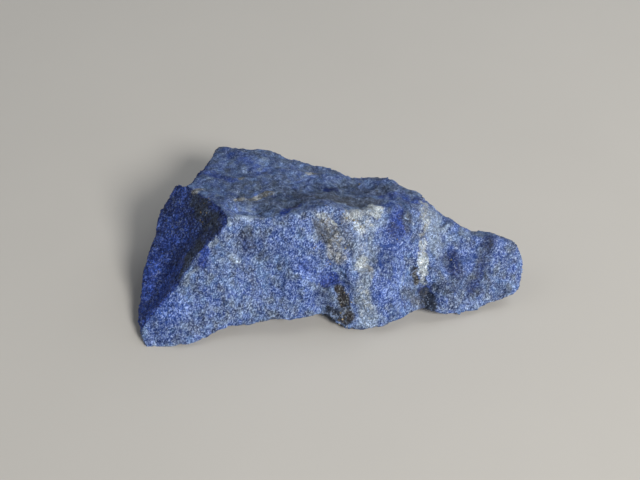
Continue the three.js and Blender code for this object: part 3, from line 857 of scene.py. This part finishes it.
def with_other_minerals(kit, pattern, settings, shade):
    """Adds the slate, the tan, the dark and the brown matrix, and the white veins over them."""
    slate_share = kit.times(flecked(kit, "slate", pattern.fleck["Green"]), SLATE_SHARE)
    shade = kit.mix(slate_share, shade, rgba(settings.slate))
    dark_tan = rgba([DARKEST_TAN * part for part in settings.tan_grain])
    pale_tan = rgba([PALEST_TAN * part for part in settings.tan_grain])
    pale_share = kit.ramp(pattern.grain["Blue"], *PALE_TAN_RAMP)
    pale_share = kit.times_plus(pattern.speck["Blue"], PALE_TAN_SPECKS, pale_share)
    tan_shade = kit.mix(pale_share, dark_tan, pale_tan)
    shade = kit.mix(flecked(kit, "tan", pattern.fleck["Blue"]), shade, tan_shade)
    shade = kit.mix(flecked(kit, "dark", pattern.fleck["Red"]), shade, rgba(settings.dark_grain))
    shade = kit.mix(flecked(kit, "brown", pattern.fleck["Green"]), shade, rgba(settings.brown))
    white_shade = kit.mix(pattern.grain["Red"], rgba(settings.milky), rgba(settings.calcite))
    tan_share = kit.ramp(pattern.grain["Blue"], *TAN_IN_CALCITE_RAMP)
    white_shade = kit.mix(tan_share, white_shade, rgba(settings.tan_grain))
    vein_fleck = kit.times_plus(pattern.speck["Green"], CALCITE_SPECKS, CALCITE_SHIFT)
    vein_fleck = kit.times_plus(pattern.grain["Green"], CALCITE_GRAINS, vein_fleck)
    vein_fleck = kit.math("ADD", vein_fleck, pattern.fleck["Green"])
    return kit.mix(flecked(kit, "calcite", vein_fleck), shade, white_shade)


def with_painted_light_and_shade(kit, pattern, shade):
    """Paints shade on darker places, partly darker stone, and over the hollow, and paints light."""
    darkening_and_painted_shade = kit.between(flecked(kit, "darker_stone_and_shade", pattern.fleck["Blue"]), *DARKER_STONE_AND_SHADE_LIGHT)
    darkening_and_painted_shade = kit.times(darkening_and_painted_shade, kit.between(pattern.scoop, *HOLLOW_PAINTED_SHADE))
    shade = kit.scaled(shade, darkening_and_painted_shade)
    return kit.scaled(shade, kit.between(flecked(kit, "painted_light", pattern.fleck["Blue"]), *PAINTED_LIGHT_LEVEL))


def with_worn_and_highlight_edges(kit, pattern, settings, shade):
    """Pales outstanding edges, as bruising and painted highlight, and rims of some chips and steps."""
    edges = kit.ramp(kit.marking("edge_wear_and_highlight"), *EDGE_WEAR_AND_HIGHLIGHT_RAMP)
    worn_and_highlight = kit.times(edges, kit.ramp(pattern.fleck["Green"], *WORN_FLECK_RAMP))
    chip_place = kit.offset_from(pattern.place, CHIP_BEND_SIZE, CHIP_BEND)
    chips = kit.cells(chip_place, CHIP_SIZE, feature="DISTANCE_TO_EDGE")
    rims = kit.ramp(chips.outputs["Distance"], *CHIP_RIM_RAMP)
    rims = kit.times(rims, kit.ramp(pattern.patch["Blue"], *CHIP_PATCH_RAMP))
    some_ledges = kit.ramp(pattern.patch["Green"], *LEDGE_PATCH_RAMP)
    rims = kit.larger(rims, kit.times(kit.marking("ledge"), some_ledges))
    bruise_and_highlight_share = kit.larger(worn_and_highlight, kit.times(rims, RIM_STRENGTH))
    bruise_and_highlight_share = kit.times(bruise_and_highlight_share, kit.between(pattern.pure, *BRUISE_AND_HIGHLIGHT_STRENGTH))
    return kit.mix(bruise_and_highlight_share, shade, rgba(settings.bruise_and_highlight))


def with_painted_glints(kit, pattern, settings, shade):
    """Lightens specks, partly as painted sparkle, varies grains at random, and paints a few as
    highlights.
    """
    level = kit.times(pattern.bright, kit.between(pattern.scoop, *SPECK_LIGHT))
    level = kit.math("ADD", level, kit.between(pattern.scoop, *GROUND_LIGHT))
    level = kit.times(level, kit.between(pattern.grain["Blue"], *GRAIN_LIGHT))
    shade = kit.scaled(shade, level)
    brown_here = kit.marking("brown")
    painted_glints = kit.times_plus(pattern.patch["Green"], GLINT_PATCHES, pattern.speck["Blue"])
    painted_glints = kit.times_plus(brown_here, GLINT_IN_BROWN, painted_glints)
    painted_glints = kit.times_plus(pattern.scoop, GLINT_IN_HOLLOW, painted_glints)
    share = kit.times(kit.ramp(painted_glints, *GLINT_RAMP), kit.between(pattern.scoop, *GLINT_STRENGTH))
    painted_glint_shade = kit.mix(brown_here, rgba(settings.painted_glint), rgba(settings.calcite))
    return kit.mix(share, shade, painted_glint_shade)


def leaning_normal(kit, pattern, settings):
    """The surface's normal, leaned a different way on each grain and on each speck."""
    normal = pattern.normal
    leans = ((pattern.grain_cells, settings.grain_tilt), (pattern.speck_cells, settings.speck_tilt))
    for cells, lean in leans:
        tilt = kit.centred(cells.outputs["Color"])
        normal = kit.moved("ADD", normal, kit.scaled(tilt, kit.times(pattern.contrast, lean)))
    return kit.moved("NORMALIZE", normal)


def lapis_material(settings):
    material, kit, place, shader = new_material("lapis lazuli")
    pattern = StonePatterns(kit, place, settings)
    shade = ground_shade(kit, pattern, settings)
    shade = with_blue_markings(kit, pattern, settings, shade)
    shade = with_other_minerals(kit, pattern, settings, shade)
    shade = with_painted_light_and_shade(kit, pattern, shade)
    shade = with_worn_and_highlight_edges(kit, pattern, settings, shade)
    shade = with_painted_glints(kit, pattern, settings, shade)
    kit.join(shade, shader.inputs["Base Color"])
    kit.join(kit.ramp(pattern.speck["Green"], *ROUGHNESS_RAMP), shader.inputs["Roughness"])
    kit.join(leaning_normal(kit, pattern, settings), shader.inputs["Normal"])
    shader.inputs["IOR"].default_value = STONE_IOR
    shader.inputs["Specular IOR Level"].default_value = STONE_SPECULAR
    return material


def set_material(obj, material):
    obj.data.materials.clear()
    obj.data.materials.append(material)


class LAPIS_OT_stone(bpy.types.Operator):
    """Build the stone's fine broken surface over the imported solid"""

    bl_idname = "lapis.stone"
    bl_label = "Stone"

    def execute(self, context):
        settings = context.scene.lapis_stone
        stone = copy_of_solid(STONE_NODE, "lapis_stone_surface")
        apply_modifier(stone, "even mesh", "REMESH", mode="VOXEL", voxel_size=settings.mesh_size)
        apply_modifier(stone, "ease facets", "SMOOTH", factor=EASE_FACTOR, iterations=EASE_PASSES)
        apply_modifier(stone, "fracture relief", "NODES", node_group=relief_tree(settings))
        bpy.ops.object.shade_smooth()
        set_material(stone, lapis_material(settings))
        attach(stone, "root")
        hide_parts(STONE_NODE)
        return {"FINISHED"}


# ------------------------------ pyrite

CRYSTAL_SHAPE = (1.0, 0.85, 0.7)
BEVEL = 0.09
CORNER_PLACE = (0.32, 0.25, 0.2)
CORNER_FACING = (1, 0.7, 0.5)
LOWEST_CRYSTAL = 0.6 * MM
SIZE_POWER = 2.2  # a power over 1 makes most crystals small
STANDING_OUT = 0.12  # how far out of the skin the middle of a crystal is, as a part of its width
TARNISH_SIZE = 0.3
TARNISH = (0.5, 0.46, 0.42)  # what is left of the gold's red, green and blue
TARNISH_RAMP = (0.42, 0.62)
PYRITE_ROUGHNESS_RAMP = (0.35, 0.65, 0.2, 0.45)
RIPPLE_SIZE = 0.08
RIPPLE_STRENGTH = 0.25
RIPPLE_HEIGHT = 0.02 * MM


def crystal(name):
    """One blocky crystal of width 1, with its edges bevelled and one corner cut off."""
    deselect_all()
    bpy.ops.mesh.primitive_cube_add(size=1.0)
    made = bpy.context.object
    made.name = made.data.name = name
    bpy.ops.object.mode_set(mode="EDIT")
    bpy.ops.mesh.select_all(action="SELECT")
    bpy.ops.transform.resize(value=CRYSTAL_SHAPE)
    bpy.ops.mesh.bevel(offset=BEVEL, segments=1)
    bpy.ops.mesh.bisect(
        plane_co=CORNER_PLACE, plane_no=CORNER_FACING, clear_outer=True, use_fill=True
    )
    bpy.ops.object.mode_set(mode="OBJECT")
    return made


def surface_places(stone, settings):
    """Seeded places on the stone's skin for the crystals, with the way out of the stone at each."""
    chance = random.Random(settings.seed)
    places = []
    for centre, half_widths, count in PYRITE_CLUSTERS:
        for _ in range(count):
            aim = Vector([c + w * chance.uniform(-1, 1) for c, w in zip(centre, half_widths)]) * MM
            found, place, outward, _ = stone.closest_point_on_mesh(aim)
            if not found:
                raise RuntimeError("the stone has no surface for the pyrite to sit in")
            if place.z > LOWEST_CRYSTAL:
                places.append((place, outward))
    return places


def scatter_crystals(stone, settings):
    pattern = crystal("pyrite_pattern")
    chance = random.Random(settings.seed + 1)
    made = []
    for place, outward in surface_places(stone, settings):
        size = settings.smallest + (settings.largest - settings.smallest) * chance.random() ** SIZE_POWER
        make_active(pattern)
        bpy.ops.object.duplicate()
        copy = bpy.context.object
        angle = chance.uniform(0, math.tau)
        axis = Vector([chance.uniform(-1, 1) for _ in range(3)])
        moved = Matrix.Translation(place + outward * size * STANDING_OUT)
        copy.matrix_world = moved @ Matrix.Rotation(angle, 4, axis) @ Matrix.Scale(size, 4)
        made.append(copy)
    bpy.data.objects.remove(pattern)
    deselect_all()
    for copy in made:
        copy.select_set(True)
    bpy.context.view_layer.objects.active = made[0]
    bpy.ops.object.transform_apply(location=True, rotation=True, scale=True)
    bpy.ops.object.join()
    joined = bpy.context.object
    bpy.ops.object.transform_apply(location=True, rotation=True, scale=True)
    joined.name = joined.data.name = "pyrite_grains"
    return joined


def pyrite_material(settings):
    material, kit, place, shader = new_material("pyrite")
    tarnish = kit.noise(place, TARNISH_SIZE).outputs[0]
    gold = rgba(settings.gold)
    dull = rgba([part * left for part, left in zip(settings.gold, TARNISH)])
    kit.join(kit.mix(kit.ramp(tarnish, *TARNISH_RAMP), gold, dull), shader.inputs["Base Color"])
    kit.join(kit.ramp(tarnish, *PYRITE_ROUGHNESS_RAMP), shader.inputs["Roughness"])
    shader.inputs["Metallic"].default_value = 1.0
    ripple = kit.noise(place, RIPPLE_SIZE, detail=2.0).outputs[0]
    ripples = {"Height": ripple, "Strength": RIPPLE_STRENGTH, "Distance": RIPPLE_HEIGHT}
    kit.join(kit.add("ShaderNodeBump", ripples).outputs["Normal"], shader.inputs["Normal"])
    return material


class LAPIS_OT_pyrite(bpy.types.Operator):
    """Set small pyrite crystals in the stone's surface"""

    bl_idname = "lapis.pyrite"
    bl_label = "Pyrite crystals"

    def execute(self, context):
        settings = context.scene.lapis_pyrite
        grains = scatter_crystals(bpy.data.objects["lapis_stone_surface"], settings)
        set_material(grains, pyrite_material(settings))
        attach(grains, "root")
        return {"FINISHED"}


# ------------------------------ stage

FLOOR_SIZE = 3.0
FLOOR_CLOUD_SIZE = 30.0  # in mm
FLOOR_DARKENING = 0.94
FLOOR_ROUGHNESS = 0.9
FLOOR_SPECULAR = 0.1
LIGHT_AIM = (0, 0, 0.006)
# Each soft light: its name, place, width, power and tint.
LIGHTS = [
    ("key", (0.21, -0.26, 0.25), 0.15, 1.5, (1.0, 0.98, 0.95)),
    ("fill", (0.3, 0.22, 0.35), 0.4, 0.9, (0.93, 0.96, 1.0)),
    ("side", (-0.3, 0.06, 0.26), 0.4, 0.22, (0.93, 0.96, 1.0)),
]
ROOM_COLOUR = (0.8, 0.86, 0.95, 1.0)
ROOM_BRIGHTNESS = 0.12
CAMERA_AIM = Vector((-1.45, -1.5, 5.0)) * MM
LENS = 60.0
SENSOR_WIDTH = 36.0
NEAREST_SEEN = 0.005
FURTHEST_SEEN = 20.0


def floor_material(settings):
    material, kit, place, shader = new_material("plain floor")
    base = rgba(settings.floor_colour)
    darker = rgba([FLOOR_DARKENING * part for part in settings.floor_colour])
    cloud = kit.noise(place, FLOOR_CLOUD_SIZE).outputs[0]
    kit.join(kit.mix(cloud, base, darker), shader.inputs["Base Color"])
    shader.inputs["Roughness"].default_value = FLOOR_ROUGHNESS
    shader.inputs["Specular IOR Level"].default_value = FLOOR_SPECULAR
    return material


def add_area_light(name, place, size, power, tint):
    light = bpy.data.lights.new(name, "AREA")
    light.shape = "DISK"
    light.size = size
    light.energy = power
    light.color = tint
    lamp = bpy.data.objects.new(name, light)
    bpy.context.scene.collection.objects.link(lamp)
    lamp.location = place
    lamp.rotation_mode = "QUATERNION"
    lamp.rotation_quaternion = (Vector(LIGHT_AIM) - Vector(place)).to_track_quat("-Z", "Y")


def add_camera(settings):
    slope = settings.camera_elevation
    back = Vector((0.0, -math.cos(slope), math.sin(slope)))
    lens = bpy.data.cameras.new("camera")
    lens.lens = LENS
    lens.sensor_width = SENSOR_WIDTH
    lens.clip_start = NEAREST_SEEN
    lens.clip_end = FURTHEST_SEEN
    camera = bpy.data.objects.new("camera", lens)
    bpy.context.scene.collection.objects.link(camera)
    camera.location = CAMERA_AIM + back * settings.camera_distance
    camera.rotation_mode = "QUATERNION"
    camera.rotation_quaternion = (-back).to_track_quat("-Z", "Y")
    bpy.context.scene.camera = camera


class LAPIS_OT_stage(bpy.types.Operator):
    """Add the plain floor, the soft lights and the camera"""

    bl_idname = "lapis.stage"
    bl_label = "Stage"

    def execute(self, context):
        settings = context.scene.lapis_stage
        deselect_all()
        bpy.ops.mesh.primitive_plane_add(size=FLOOR_SIZE)
        floor = bpy.context.object
        floor.name = floor.data.name = "floor"
        set_material(floor, floor_material(settings))
        for light in LIGHTS:
            add_area_light(*light)
        world = bpy.data.worlds.new("soft room")
        world.use_nodes = True
        background = world.node_tree.nodes["Background"]
        background.inputs["Color"].default_value = ROOM_COLOUR
        background.inputs["Strength"].default_value = ROOM_BRIGHTNESS
        context.scene.world = world
        context.scene.view_settings.view_transform = "Standard"
        add_camera(settings)
        return {"FINISHED"}


# ------------------------------ add-on


class LAPIS_PT_specimen(bpy.types.Panel):
    """Lists what this add-on builds, and its settings"""

    bl_idname = "LAPIS_PT_specimen"
    bl_label = "Lapis lazuli specimen"
    bl_space_type = "VIEW_3D"
    bl_region_type = "UI"
    bl_category = "Lapis"

    def draw(self, context):
        for operator, group in BUILD_ORDER:
            box = self.layout.box()
            box.operator(operator.bl_idname)
            settings = getattr(context.scene, group)
            for name in settings.__annotations__:
                box.prop(settings, name)


BUILD_ORDER = [
    (LAPIS_OT_stone, "lapis_stone"),
    (LAPIS_OT_pyrite, "lapis_pyrite"),
    (LAPIS_OT_stage, "lapis_stage"),
]
SETTINGS = {
    "lapis_stone": StoneSettings,
    "lapis_pyrite": PyriteSettings,
    "lapis_stage": StageSettings,
}
CLASSES = [*SETTINGS.values(), *(operator for operator, _ in BUILD_ORDER), LAPIS_PT_specimen]


def register():
    for cls in CLASSES:
        bpy.utils.register_class(cls)
    for name, group in SETTINGS.items():
        setattr(bpy.types.Scene, name, PointerProperty(type=group))


def unregister():
    for name in SETTINGS:
        delattr(bpy.types.Scene, name)
    for cls in reversed(CLASSES):
        bpy.utils.unregister_class(cls)


def main():
    register()
    bpy.ops.lapis.stone()
    bpy.ops.lapis.pyrite()
    bpy.ops.lapis.stage()


if __name__ == "__main__":
    main()
